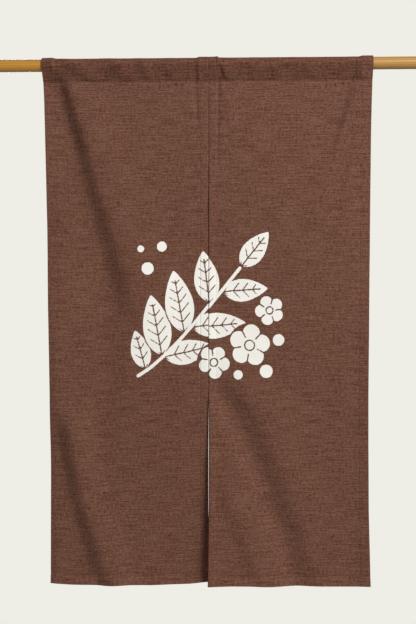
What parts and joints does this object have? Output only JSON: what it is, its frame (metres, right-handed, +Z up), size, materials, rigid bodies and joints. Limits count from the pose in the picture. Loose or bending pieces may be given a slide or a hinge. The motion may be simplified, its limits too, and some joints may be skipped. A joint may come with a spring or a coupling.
{
  "type": "noren curtain on a rod",
  "caption": "Split doorway curtain of brown slub-woven cloth, sewn together at the top of the slit and hung by a stitched pocket on a plain round wooden rod.",
  "frame": {"origin": "on the rod's axis, at the middle of its length, in line with the seam between the panels", "axes": "+X to the right of someone who faces the curtain's front, +Y away from them through the cloth, +Z up"},
  "size_m": [1.2, 0.0422, 1.3597],
  "materials": {
    "rod_wood": "smooth, clear varnish",
    "cloth": "matt slub weave"
  },
  "bodies": {
    "root": {"rod": "rod_wood", "panel_left": "cloth", "panel_right": "cloth"}
  },
  "joints": []
}
